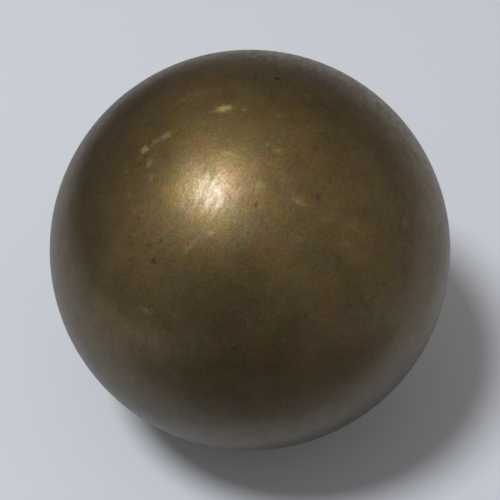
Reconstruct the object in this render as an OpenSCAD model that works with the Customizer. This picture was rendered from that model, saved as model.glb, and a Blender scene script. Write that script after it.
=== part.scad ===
// Solid bronze ball for a bench or desk: cast in one piece, turned round, then worn by use.
// The origin is the ball's centre and +Z is up. The knocks and pits lie on the upper side
// that faces -Y. The side that faces away is plain.

/* [Ball] */
// Diameter of the ball
ball_d = 50; // [30:1:100]

/* [Knocks] */
// Length of the largest knock, which lies near the top
knock_l = 2; // [1.5:0.1:3]
// Width of the largest knock
knock_w = 0.9; // [0.5:0.05:1.1]
// Depth of the largest knock below the round skin
knock_depth = 0.08; // [0.06:0.01:0.15]

/* [Skid] */
// How many dents an edge left in a row as it skidded up the ball
skid_count = 4; // [2:1:6]
// Distance along the skin from one dent of the row to the next
skid_pitch = 1.45; // [1.35:0.05:2]
// Length of a dent of the row
skid_l = 1.1; // [1:0.05:1.3]
// Width of a dent of the row
skid_w = 0.7; // [0.4:0.05:0.75]
// Depth of a dent of the row
skid_depth = 0.05; // [0.03:0.005:0.08]

/* [Pits] */
// Width of the largest pit at its mouth
pit_d = 0.6; // [0.3:0.05:0.8]
// Depth of the largest pit
pit_depth = 0.12; // [0.1:0.02:0.4]

/* [Hidden] */

ball_r = ball_d / 2;
bronze = [0.37, 0.3, 0.18];

// A place on the skin is a polar angle from the top and a bearing from +X, in degrees.
// A knock is [polar, bearing, turn from the meridian, share of the largest knock's size].
KNOCKS = [
    [7, 166, 16, 1],
    [28, -63.5, 34, 0.7],
    [39.5, -114.5, -17, 0.85],
    [60, -122, -84, 0.65],
    [58.5, -52, -79, 0.55],
    [51, -25, -55, 0.55],
    [35.5, -162, 62, 0.8],
    [39.5, -143.5, 75, 0.5],
    [29, -157, 58, 0.5],
    [17.5, 29.5, 90, 0.55],
    [14, -60, 76, 0.4],
    [7.5, -6.5, 25, 0.4],
    [34.5, -107.5, -55, 0.4],
    [41, -45, 64, 0.4]
];

// A pit is [polar, bearing, share of the largest pit's size].
PITS = [
    [27, -86, 1],
    [29.5, -52.5, 1],
    [16.5, 63.5, 1],
    [47, -125.5, 0.85],
    [40.5, -140, 0.8],
    [45, -57, 0.7],
    [47, -136.5, 0.6],
    [50, -133.5, 0.6],
    [50, -104, 0.5],
    [8.5, 48.5, 0.5],
    [64, -95, 0.4],
    [64, -94, 0.4]
];

// The row starts here and climbs towards the top, with its bearing changing from dent to dent.
skid_polar = 29;
skid_bearing = -167;
skid_veer = -1;
skid_turn = 8;
skid_step = skid_pitch / ball_r * 180 / PI;

// How much further than its print the ring of a knock is drawn
ring_reach = 1.25;

// How far the round skin falls away over half of a mark of this length
function fall(length) = ball_r - sqrt(ball_r * ball_r - length * length / 4);

// How deep a mark is below the line between its two ends
function drop(length, depth) = depth - fall(length);

// Radius of the round tool that leaves a mark of this length and depth
function tool_r(length, depth) =
    (length * length / 4 + pow(drop(length, depth), 2)) / (2 * drop(length, depth));

// Places its children on the skin, with their Z outwards and their X down the meridian
module on_skin(polar, bearing, turn = 0) {
    rotate([0, polar, bearing]) rotate([0, 0, turn]) translate([0, 0, ball_r]) children();
}

// The print of a rounded edge: the foot of a ring that stands on the skin. Only a short piece
// of the ring is drawn, so that the tools of neighbouring knocks stay clear of each other.
module knock(length, width, depth) {
    long_r = tool_r(length, depth);
    cross_r = tool_r(width, depth);
    sweep = 2 * asin(ring_reach * length / 2 / long_r);
    translate([0, 0, long_r - depth]) rotate([90, 0, 0]) rotate([0, 0, -90 - sweep / 2])
        rotate_extrude(angle = sweep, $fn = 240)
            translate([long_r - cross_r, 0]) circle(r = cross_r, $fn = 48);
}

// A round hole in the skin
module pit(width, depth) {
    r = tool_r(width, depth);
    translate([0, 0, r - depth]) sphere(r = r, $fn = 32);
}

module ball() {
    color(bronze) difference() {
        sphere(d = ball_d, $fn = 180);
        for (k = KNOCKS)
            on_skin(k[0], k[1], k[2]) knock(k[3] * knock_l, k[3] * knock_w, k[3] * knock_depth);
        for (i = [0:skid_count - 1])
            on_skin(skid_polar - i * skid_step, skid_bearing + i * skid_veer, skid_turn)
                knock(skid_l, skid_w, skid_depth);
        for (p = PITS) on_skin(p[0], p[1]) pit(p[2] * pit_d, p[2] * pit_depth);
    }
}

ball();
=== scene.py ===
from math import cos, exp, pi, radians, sin

import bmesh
import bpy
from mathutils import Matrix, Vector, kdtree, noise


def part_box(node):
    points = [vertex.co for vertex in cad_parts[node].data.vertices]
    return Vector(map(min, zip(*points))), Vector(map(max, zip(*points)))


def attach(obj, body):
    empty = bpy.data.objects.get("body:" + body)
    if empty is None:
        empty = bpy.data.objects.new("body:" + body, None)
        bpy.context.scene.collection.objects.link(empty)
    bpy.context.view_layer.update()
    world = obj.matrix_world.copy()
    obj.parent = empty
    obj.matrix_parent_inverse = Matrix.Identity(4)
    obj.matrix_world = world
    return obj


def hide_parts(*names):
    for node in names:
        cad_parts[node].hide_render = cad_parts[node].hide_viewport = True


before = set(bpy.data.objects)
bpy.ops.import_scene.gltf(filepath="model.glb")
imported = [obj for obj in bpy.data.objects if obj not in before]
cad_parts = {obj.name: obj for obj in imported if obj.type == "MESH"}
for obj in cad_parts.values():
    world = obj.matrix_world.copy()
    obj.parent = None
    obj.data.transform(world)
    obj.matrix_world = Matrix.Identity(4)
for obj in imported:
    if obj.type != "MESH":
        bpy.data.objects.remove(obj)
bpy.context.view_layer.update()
scene = bpy.context.scene


# The ball: one solid of bronze, cast and turned round, with a thin brown patina that use has worn.
# Knocks have left bright metal on its upper side, and a few casting pits hold dirt.
# The places of its marks are angles in degrees, and their sizes are in millimetres.
mm = 0.001
low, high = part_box("ball")
ball_radius = (high.z - low.z) / 2
ball_centre = Vector((0, 0, (high.z + low.z) / 2))
skin_waves = 0.012 * mm
wave_length = 5 * mm

# Knocks worn soft keep this share of their depth, and pits filled with dirt this share of theirs.
knock_left = 0.4
pit_left = 0.15

# How much the edge of a mark wanders in and out, and over what distance
edge_wander = 0.5
wander_length = 0.45 * mm

# Knocks, of which the second to the fifth are a row that one edge left as it skidded:
# [polar angle from the top, bearing from +X, turn from the meridian, length, width, depth, shine]
KNOCKS = [
    [7, 166, 16, 1.8, 0.95, 0.08, 1.2],
    [29, -167, 8, 1.0, 0.9, 0.05, 0.75],
    [25.7, -168, 8, 1.4, 0.85, 0.05, 0.28],
    [22.4, -169, 8, 1.4, 0.9, 0.05, 0.42],
    [19, -170, 8, 1.1, 0.6, 0.05, 0.05],
    [28, -63.5, 34, 1.8, 0.8, 0.055, 0.34],
    [39.5, -114.5, -17, 2.0, 0.55, 0.065, 0.14],
    [60, -122, -84, 1.4, 0.6, 0.05, 0.24],
    [58.5, -52, -79, 1.1, 0.5, 0.045, 0.1],
    [51, -25, -55, 1.2, 0.6, 0.045, 0.12],
    [35.5, -162, 62, 1.6, 0.7, 0.06, 0.1],
    [39.5, -143.5, 75, 1.0, 0.5, 0.04, 0.15],
    [29, -157, 58, 1.1, 0.75, 0.04, 0.28],
    [17.5, 29.5, 90, 1.1, 0.6, 0.045, 0.2],
    [14, -60, 76, 1.1, 0.8, 0.03, 0.3],
    [7.5, -6.5, 25, 0.9, 0.6, 0.03, 0.16],
    [34.5, -107.5, -55, 0.8, 0.6, 0.03, 0.13],
    [41, -45, 64, 0.8, 0.5, 0.03, 0.12],
]

# Scuffs too shallow to feel, given as the knocks are. The last is a faint, broad patch of bare metal,
# a painted highlight that brightens the left side of the lamp's highlight.
SCUFFS_AND_PAINTED_HIGHLIGHT = [
    [24, -168.5, 8, 5.6, 1.0, 0.006, 0.1],
    [20, 158, 51, 2.9, 0.9, 0.006, 0.14],
    [15.5, 144, 41, 2.9, 0.9, 0.006, 0.1],
    [14, -114, 90, 1.9, 0.5, 0.008, 0.15],
    [2, 147, 32, 0.8, 0.7, 0.008, 0.25],
    [31, -164, 41, 1.1, 0.7, 0.008, 0.12],
    [21.5, -84, 86, 0.9, 0.8, 0.008, 0.2],
    [30.5, -149, 46, 1.0, 0.6, 0.008, 0.16],
    [38, -151, 84, 0.9, 0.7, 0.008, 0.15],
    [11, -68, -87, 0.9, 0.5, 0.008, 0.15],
    [35, -55.5, 64, 1.1, 0.7, 0.008, 0.16],
    [37, -69.5, 74, 0.8, 0.7, 0.008, 0.16],
    [44, -137, -55, 0.9, 0.5, 0.008, 0.12],
    [58, -113, -70, 0.8, 0.6, 0.008, 0.12],
    [56.5, -90.5, 0, 0.9, 0.5, 0.008, 0.14],
    # Painted highlight: this patch lightens the skin on the left side of the lamp's highlight.
    [27, -126, 32, 4.6, 2.8, 0.004, 0.08],
]

# Casting pits: [polar angle, bearing, width, depth, darkness]
PITS = [
    [27, -86, 0.7, 0.12, 0.27],
    [29.5, -52.5, 0.65, 0.12, 0.45],
    [16.5, 63.5, 0.6, 0.12, 0.9],
    [47, -125.5, 0.5, 0.1, 0.65],
    [40.5, -140, 0.48, 0.1, 0.3],
    [45, -57, 0.42, 0.08, 0.3],
    [47, -136.5, 0.36, 0.07, 0.4],
    [50, -133.5, 0.36, 0.07, 0.4],
    [50, -104, 0.3, 0.06, 0.3],
    [8.5, 48.5, 0.3, 0.06, 0.7],
    [64, -95, 0.24, 0.05, 0.7],
    [64, -94, 0.24, 0.05, 0.7],
]

# Stains of dirt, and two of painted shade at the end that dim the right side of the lamp's highlight:
# [polar angle, bearing, turn, length, width, darkness]
STAINS_AND_PAINTED_SHADE = [
    [27, 175, 0, 1.1, 1.0, 0.3],
    [16.5, -99.5, 0, 0.6, 0.6, 0.35],
    [26.5, -16.5, 0, 0.8, 0.6, 0.35],
    [19.5, -30, 0, 0.7, 0.6, 0.35],
    [32, -160.5, 0, 0.6, 0.6, 0.5],
    [44, -129.5, 0, 0.5, 0.6, 0.5],
    [42.5, -133.5, 0, 0.5, 0.5, 0.35],
    [41.5, -126, 0, 0.7, 0.5, 0.5],
    [14, 84.5, 0, 0.4, 0.4, 0.6],
    [16.5, 52, 0, 0.4, 0.4, 0.4],
    [58.5, -45, 0, 0.8, 0.8, 0.35],
    [24.5, -153.5, 67, 4.2, 1.5, 0.25],
    # Painted shade: these two darken the right side of the lamp's highlight.
    [22.5, -95, 6, 5.2, 1.9, 0.15],
    [20, -74.5, 6, 3.1, 1.6, 0.15],
]

# Broad patches where the skin is lighter or darker: partly the patina's own tone, and partly painted
# reflection and painted shade that brighten the sides and lower right and dim the glow round the
# highlight. [polar angle, bearing, width, change]
TONE_AND_PAINTED_LIGHT_PATCHES = [
    [47, -150, 11, 0.22],
    [53, -126, 12, 0.44],
    [24, -41, 13, 0.36],
    [38, -68, 13, 0.42],
    [67, -81, 15, 0.52],
    [26, -97, 14, -0.23],
    [6.5, 164, 13, 0.22],
    [11.5, -63, 9, 0.14],
    [87, -113, 14, -0.12],
    [74, -112, 9, 0.14],
    [65, -113, 9, -0.12],
    [25, 51, 9, -0.1],
]


def skin_axes(polar, bearing, turn=0):
    """The outward direction at a place on the skin, with the directions along and across a mark."""
    spin = Matrix.Rotation(radians(bearing), 3, "Z") @ Matrix.Rotation(radians(polar), 3, "Y")
    spin = spin @ Matrix.Rotation(radians(turn), 3, "Z")
    return spin.col[2], spin.col[0], spin.col[1]


def bell(spread, tightness):
    """A curve that is 1 in the middle of a mark and falls off the faster, the tighter it is."""
    return exp(-tightness * spread ** 2)


def ragged_spread(point, along, across, length, width):
    """How far a point is from a mark's middle, in half sizes of the mark, with a ragged edge."""
    far = 2 * point.dot(along) / (length * mm)
    aside = 2 * point.dot(across) / (width * mm)
    return (far ** 2 + aside ** 2) ** 0.5 * (1 + edge_wander * noise.noise(point / wander_length))


# The faces are finer round each mark: [polar angle, bearing, how far they reach, longest edge]
fine_spots = [[mark[0], mark[1], 0.75 * mark[3] * mm, 0.14 * mm] for mark in KNOCKS + SCUFFS_AND_PAINTED_HIGHLIGHT]
fine_spots += [[mark[0], mark[1], 0.9 * mark[2] * mm, 0.07 * mm] for mark in PITS]
fine_spots += [[mark[0], mark[1], 0.8 * mark[3] * mm, 0.14 * mm] for mark in STAINS_AND_PAINTED_SHADE]
spot_finder = kdtree.KDTree(len(fine_spots))
for index, (polar, bearing, _, _) in enumerate(fine_spots):
    spot_finder.insert(skin_axes(polar, bearing)[0] * ball_radius, index)
spot_finder.balance()

# Each pass halves the edges near a mark that are still too long for it.
sliver_area = 0.0002 * mm ** 2
ball_form = bmesh.new()
bmesh.ops.create_icosphere(ball_form, subdivisions=7, radius=ball_radius)
for _ in range(3):
    long_edges = []
    for edge in ball_form.edges:
        middle = (edge.verts[0].co + edge.verts[1].co) / 2
        for _, index, distance in spot_finder.find_n(middle, 4):
            _, _, reach, longest = fine_spots[index]
            if distance < reach and edge.calc_length() > longest:
                long_edges.append(edge)
                break
    bmesh.ops.subdivide_edges(ball_form, edges=long_edges, cuts=1, use_grid_fill=True)
    bmesh.ops.triangulate(ball_form, faces=[face for face in ball_form.faces if len(face.verts) > 3])
    # A sliver that this leaves along a cut edge is turned into a sound face.
    slivers = [face for face in ball_form.faces if face.calc_area() < sliver_area]
    long_sides = [max(face.edges, key=lambda edge: edge.calc_length()) for face in slivers]
    bmesh.ops.rotate_edges(ball_form, edges=long_sides, use_ccw=False)

# The material reads from these layers where the skin is worn to bare metal or carries a painted
# highlight, where dirt or painted shade darkens it, and where broad patches of tone and painted light
# make it lighter or darker.
bare_and_painted_highlight = ball_form.verts.layers.float.new("bare_and_painted_highlight")
dirt_and_painted_shade = ball_form.verts.layers.float.new("dirt_and_painted_shade")
tone_and_painted_light = ball_form.verts.layers.float.new("tone_and_painted_light")
skin_points = kdtree.KDTree(len(ball_form.verts))
ball_form.verts.ensure_lookup_table()
for vert in ball_form.verts:
    out = vert.co.normalized()
    wave = noise.noise(out * ball_radius / wave_length)
    vert.co = out * (ball_radius - skin_waves * (1 + wave))
    skin_points.insert(vert.co, vert.index)
skin_points.balance()

# Each knock is a shallow trough with a soft, ragged edge, and bare metal shows in and just round it.
# The bare metal of the last scuff is a painted highlight.
for polar, bearing, turn, length, width, depth, shine in KNOCKS + SCUFFS_AND_PAINTED_HIGHLIGHT:
    out, along, across = skin_axes(polar, bearing, turn)
    for _, index, _ in skin_points.find_range(out * ball_radius, length * mm):
        vert = ball_form.verts[index]
        spread = ragged_spread(vert.co, along, across, length, width)
        vert[bare_and_painted_highlight] = max(vert[bare_and_painted_highlight], shine * bell(spread, 1.1))
        vert.co -= vert.co.normalized() * knock_left * bell(spread, 1.3) * depth * mm

# Each pit is a shallow bowl that dirt has mostly filled.
for polar, bearing, width, depth, darkness in PITS:
    out = skin_axes(polar, bearing)[0]
    for _, index, _ in skin_points.find_range(out * ball_radius, width * mm):
        vert = ball_form.verts[index]
        spread = 2 * (vert.co - out * vert.co.dot(out)).length / (width * mm)
        vert[dirt_and_painted_shade] = max(vert[dirt_and_painted_shade], darkness * bell(spread, 0.8))
        vert.co -= vert.co.normalized() * pit_left * bell(spread, 2) * depth * mm

# A stain is dark colour alone, with a ragged edge: dirt, except the last two, which are painted shade
# over the highlight.
for polar, bearing, turn, length, width, darkness in STAINS_AND_PAINTED_SHADE:
    out, along, across = skin_axes(polar, bearing, turn)
    for _, index, _ in skin_points.find_range(out * ball_radius, length * mm):
        vert = ball_form.verts[index]
        spread = ragged_spread(vert.co, along, across, length, width)
        vert[dirt_and_painted_shade] = max(vert[dirt_and_painted_shade], darkness * bell(spread, 1.2))

# Each patch, of tone and of painted light and shade, fades out so softly that it has no edge.
for polar, bearing, width, change in TONE_AND_PAINTED_LIGHT_PATCHES:
    middle = skin_axes(polar, bearing)[0] * ball_radius
    for _, index, distance in skin_points.find_range(middle, width * mm):
        ball_form.verts[index][tone_and_painted_light] += change * bell(distance / (width * mm), 3)

bmesh.ops.recalc_face_normals(ball_form, faces=ball_form.faces)
ball_mesh = bpy.data.meshes.new("bronze_ball")
ball_form.to_mesh(ball_mesh)
ball_form.free()
ball_mesh.shade_smooth()
ball_mesh.transform(Matrix.Translation(ball_centre))
ball = bpy.data.objects.new("bronze_ball", ball_mesh)
scene.collection.objects.link(ball)

# Patinated bronze: a satin brown skin, redder and more olive by turns, under a thin film of wax and
# grease that gives the sharper part of its shine. Painted shade makes it darker and greyer low on the
# ball, and painted light makes it brighter on top.
red_brown = (0.174, 0.104, 0.040, 1)
olive_brown = (0.153, 0.113, 0.037, 1)
bare_metal_and_highlight = (0.76, 0.59, 0.26, 1)
dirt_and_shade_brown = (0.03, 0.022, 0.014, 1)

# Tints that the brown of the skin is multiplied by
golden = (1.05, 1.0, 0.84, 1)
smoky = (0.97, 1.0, 1.14, 1)
# Painted shade low on the ball and painted light on top
painted_low_shade = (0.5, 0.585, 0.9, 1)
painted_top_light = (1.13, 1.13, 1.13, 1)

bronze = bpy.data.materials.new("bronze")
bronze.use_nodes = True
nodes, links = bronze.node_tree.nodes, bronze.node_tree.links
shader = nodes["Principled BSDF"]
skin_place = nodes.new("ShaderNodeTexCoord").outputs["Object"]


# These helpers add their nodes to the material, or the room, that nodes and links last named.
def cloud(size, detail, place=skin_place):
    """Noise from 0 to 1 with patches of about this size."""
    patches = nodes.new("ShaderNodeTexNoise")
    patches.inputs["Scale"].default_value = 1 / size
    patches.inputs["Detail"].default_value = detail
    patches.inputs["Roughness"].default_value = 0.6
    links.new(place, patches.inputs["Vector"])
    return patches.outputs["Fac"]


def spread_out(value, lowest, highest, start=0.35, end=0.65):
    """A value from start to end, which suit a noise, spread out from lowest to highest."""
    stretch = nodes.new("ShaderNodeMapRange")
    stretch.inputs["From Min"].default_value = start
    stretch.inputs["From Max"].default_value = end
    stretch.inputs["To Min"].default_value = lowest
    stretch.inputs["To Max"].default_value = highest
    links.new(value, stretch.inputs["Value"])
    return stretch.outputs["Result"]


def combined(first, second, how):
    """Two numbers put together by a Math node."""
    both = nodes.new("ShaderNodeMath")
    both.operation = how
    links.new(first, both.inputs[0])
    links.new(second, both.inputs[1])
    return both.outputs["Value"]


def tinted(share, first, second, how="MIX"):
    """Two colours put together by a Mix node. The share and each colour may be a link."""
    both = nodes.new("ShaderNodeMix")
    both.data_type = "RGBA"
    both.blend_type = how
    if isinstance(share, float):
        both.inputs[0].default_value = share
    else:
        links.new(share, both.inputs[0])
    for socket, colour in ((both.inputs[6], first), (both.inputs[7], second)):
        if isinstance(colour, tuple):
            socket.default_value = colour
        else:
            links.new(colour, socket)
    return both.outputs[2]


def skin_amount(name):
    """One of the layers that the mesh holds: bare metal with a painted highlight, dirt with painted
    shade, or tone with painted light.
    """
    layer = nodes.new("ShaderNodeAttribute")
    layer.attribute_name = name
    return layer.outputs["Fac"]


# The marks of turning and wiping run in rings round a level axis, and show most near the top.
turned = nodes.new("ShaderNodeMapping")
turned.vector_type = "TEXTURE"
turned.inputs["Rotation"].default_value = (0, 0, radians(163))
turned.inputs["Scale"].default_value = (0.35, 1, 1)
links.new(skin_place, turned.inputs["Vector"])
streaks = cloud(1.8 * mm, 2, turned.outputs["Vector"])
height = nodes.new("ShaderNodeSeparateXYZ")
links.new(skin_place, height.inputs["Vector"])
near_top = spread_out(height.outputs["Z"], 0.3, 1, 0.3 * ball_radius, 0.75 * ball_radius)
wiped = combined(spread_out(streaks, -1, 1), near_top, "MULTIPLY")
grain = cloud(0.3 * mm, 2)
fine_grain = cloud(0.2 * mm, 1)
tinges = cloud(2.5 * mm, 3)
blotches = cloud(2.2 * mm, 3)
shades = cloud(4 * mm, 4)

skin_colour = tinted(spread_out(blotches, 0, 1), red_brown, olive_brown)
# Painted light and shade: the skin is darker and greyer towards the bottom and brighter towards the
# top.
painted_height_light = spread_out(height.outputs["Z"], 0, 1, -0.25 * ball_radius, ball_radius)
lightness_and_painted_light = combined(spread_out(shades, 0.87, 1.13), spread_out(grain, 0.86, 1.14), "MULTIPLY")
# The broad patches carry painted reflection and painted shade as well as the patina's own tone.
lightness_and_painted_light = combined(lightness_and_painted_light, spread_out(skin_amount("tone_and_painted_light"), 0, 2, -1, 1), "MULTIPLY")
skin_colour = tinted(1.0, skin_colour, tinted(spread_out(tinges, 0, 1), golden, smoky), "MULTIPLY")
skin_colour = tinted(1.0, skin_colour, tinted(painted_height_light, painted_low_shade, painted_top_light), "MULTIPLY")
skin_colour = tinted(1.0, skin_colour, lightness_and_painted_light, "MULTIPLY")
# Bare metal shows in the knocks and scuffs; that of the last scuff is a painted highlight.
bare_and_highlight_share = combined(skin_amount("bare_and_painted_highlight"), spread_out(grain, 0.6, 1.0), "MULTIPLY")
skin_colour = tinted(bare_and_highlight_share, skin_colour, bare_metal_and_highlight)
# Dirt lies in the pits and stains, and the last two stains are painted shade.
skin_colour = tinted(skin_amount("dirt_and_painted_shade"), skin_colour, dirt_and_shade_brown)
links.new(skin_colour, shader.inputs["Base Color"])

skin_roughness = spread_out(fine_grain, 0.47, 0.405, 0.40, 0.70)
streak_roughness = spread_out(wiped, 0.035, -0.025, -1, 1)
links.new(combined(skin_roughness, streak_roughness, "ADD"), shader.inputs["Roughness"])
film = spread_out(wiped, 0.065, 0.245, -1, 1)
film = combined(film, spread_out(skin_amount("dirt_and_painted_shade"), 1, 0, 0, 1), "MULTIPLY")
links.new(film, shader.inputs["Coat Weight"])
shader.inputs["Coat Roughness"].default_value = 0.26
shader.inputs["Coat IOR"].default_value = 2.0
shader.inputs["Metallic"].default_value = 1.0

relief = nodes.new("ShaderNodeBump")
relief.inputs["Distance"].default_value = 0.008 * mm
links.new(combined(spread_out(wiped, -0.18, 0.18, -1, 1), grain, "ADD"), relief.inputs["Height"])
links.new(relief.outputs["Normal"], shader.inputs["Normal"])
links.new(relief.outputs["Normal"], shader.inputs["Coat Normal"])
ball_mesh.materials.append(bronze)

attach(ball, "root")
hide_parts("ball")


# The table it lies on: one plain, pale, matt sheet that reaches past the view, level with the
# ball's lowest point.
floor_form = bmesh.new()
bmesh.ops.create_circle(floor_form, cap_ends=True, segments=64, radius=3)
bmesh.ops.translate(floor_form, verts=floor_form.verts, vec=(0, 0, low.z))
floor_mesh = bpy.data.meshes.new("floor")
floor_form.to_mesh(floor_mesh)
floor_form.free()
floor = bpy.data.objects.new("floor", floor_mesh)
scene.collection.objects.link(floor)
pale = bpy.data.materials.new("pale_floor")
pale.use_nodes = True
shader = pale.node_tree.nodes["Principled BSDF"]
shader.inputs["Base Color"].default_value = (0.85, 0.85, 0.85, 1)
shader.inputs["Roughness"].default_value = 0.9
shader.inputs["Specular IOR Level"].default_value = 0.2
floor_mesh.materials.append(pale)


# Two dark sheets of painted shade that lie flat on the table, in front of the ball and far behind it
# on the left. They stand in for shade on the table, only show in the ball's shine as a painted dark
# reflection, and fade from mid grey near the ball to nearly black.
shade_sheet_length = 20
shade_sheet_form = bmesh.new()

# [turn about the ball, nearest edge, shift sideways, width], the last three in ball radii
for turn, near_edge, sideways, width in ([4, 1.6, 0.4, 6.5], [-118, 4.5, 0, 30]):
    made = bmesh.ops.create_grid(shade_sheet_form, x_segments=1, y_segments=1, size=0.5)["verts"]
    bmesh.ops.scale(shade_sheet_form, verts=made, vec=(width * ball_radius, shade_sheet_length * ball_radius, 1))
    place = (sideways * ball_radius, -(near_edge + shade_sheet_length / 2) * ball_radius, low.z + 0.5 * mm)
    bmesh.ops.translate(shade_sheet_form, verts=made, vec=place)
    bmesh.ops.rotate(shade_sheet_form, verts=made, matrix=Matrix.Rotation(radians(turn), 3, "Z"))
shade_sheet_mesh = bpy.data.meshes.new("painted_shade_sheet")
shade_sheet_form.to_mesh(shade_sheet_mesh)
shade_sheet_form.free()
shade_sheet = bpy.data.objects.new("painted_shade_sheet", shade_sheet_mesh)
scene.collection.objects.link(shade_sheet)
dark = bpy.data.materials.new("painted_shade_sheet")
dark.use_nodes = True
nodes, links = dark.node_tree.nodes, dark.node_tree.links
shader = nodes["Principled BSDF"]
away = nodes.new("ShaderNodeVectorMath")
away.operation = "LENGTH"
links.new(nodes.new("ShaderNodeTexCoord").outputs["Object"], away.inputs[0])
shade_sheet_fade = spread_out(away.outputs["Value"], 0.36, 0.06, 1.6 * ball_radius, 6 * ball_radius)
links.new(shade_sheet_fade, shader.inputs["Base Color"])
shader.inputs["Roughness"].default_value = 0.9
shader.inputs["Specular IOR Level"].default_value = 0.0
shade_sheet_mesh.materials.append(dark)
shade_sheet.visible_camera = False
shade_sheet.visible_shadow = False
shade_sheet.visible_diffuse = False


# Light: one round soft lamp high on the left, and a dim blue room with broad warm glows, which
# the camera sees as plain pale grey.
lamp_towards = Vector((-0.322, -0.093, 0.943)).normalized()
lamp_distance = 0.6
lamp_radius = 0.125 * lamp_distance
lamp_data = bpy.data.lights.new("key", "AREA")
lamp_data.shape = "DISK"
lamp_data.size = 2 * lamp_radius
lamp_data.energy = 1.88
lamp_data.color = (1.0, 1.06, 1.18)
lamp = bpy.data.objects.new("key", lamp_data)
lamp.location = lamp_towards * lamp_distance
lamp.rotation_euler = lamp_towards.to_track_quat("Z", "Y").to_euler()
scene.collection.objects.link(lamp)

world = bpy.data.worlds.new("room")
world.use_nodes = True
scene.world = world
nodes, links = world.node_tree.nodes, world.node_tree.links
room_place = nodes.new("ShaderNodeTexCoord").outputs["Generated"]
room_base = nodes.new("ShaderNodeRGB").outputs["Color"]
room_base.default_value = (0.035, 0.058, 0.098, 1)

# [direction of the middle of a glow, its colour there]
GLOWS = [
    [(0.97, 0, 0.25), (0.29, 0.27, 0.24)],
    [(-0.1, 0.6, 0.8), (0.19, 0.155, 0.11)],
    [(0.35, -0.6, 0.72), (0.16, 0.14, 0.115)],
    [(-0.45, 0.8, 0.4), (0.13, 0.12, 0.09)],
    [(-0.95, -0.25, 0.2), (0.24, 0.22, 0.18)],
]
glow_tightness = 4

# Each glow falls off as exp(tightness * (cosine - 1)) with the angle from its middle.
room_colour = room_base
for towards, glow in GLOWS:
    cosine = nodes.new("ShaderNodeVectorMath")
    cosine.operation = "DOT_PRODUCT"
    cosine.inputs[1].default_value = towards
    links.new(room_place, cosine.inputs[0])
    off_middle = nodes.new("ShaderNodeMath")
    off_middle.operation = "MULTIPLY_ADD"
    off_middle.inputs[1].default_value = glow_tightness
    off_middle.inputs[2].default_value = -glow_tightness
    links.new(cosine.outputs["Value"], off_middle.inputs[0])
    falloff = nodes.new("ShaderNodeMath")
    falloff.operation = "EXPONENT"
    links.new(off_middle.outputs["Value"], falloff.inputs[0])
    room_colour = tinted(falloff.outputs["Value"], room_colour, (*glow, 1), "ADD")
seen = nodes.new("ShaderNodeLightPath").outputs["Is Camera Ray"]
links.new(tinted(seen, room_colour, (0.58, 0.6, 0.64, 1)), nodes["Background"].inputs["Color"])
scene.view_settings.view_transform = "Standard"


# Camera: looks down on the ball from the front, from far enough for a nearly round outline.
camera_height = radians(52)
camera_distance = 7 * ball_radius
camera_data = bpy.data.cameras.new("camera")
camera_data.lens = 100
camera_data.sensor_width = 36
camera_data.clip_start = 0.01
camera = bpy.data.objects.new("camera", camera_data)
camera.location = ball_centre + camera_distance * Vector((0, -cos(camera_height), sin(camera_height)))
camera.rotation_euler = (pi / 2 - camera_height, 0, 0)
scene.collection.objects.link(camera)
scene.camera = camera
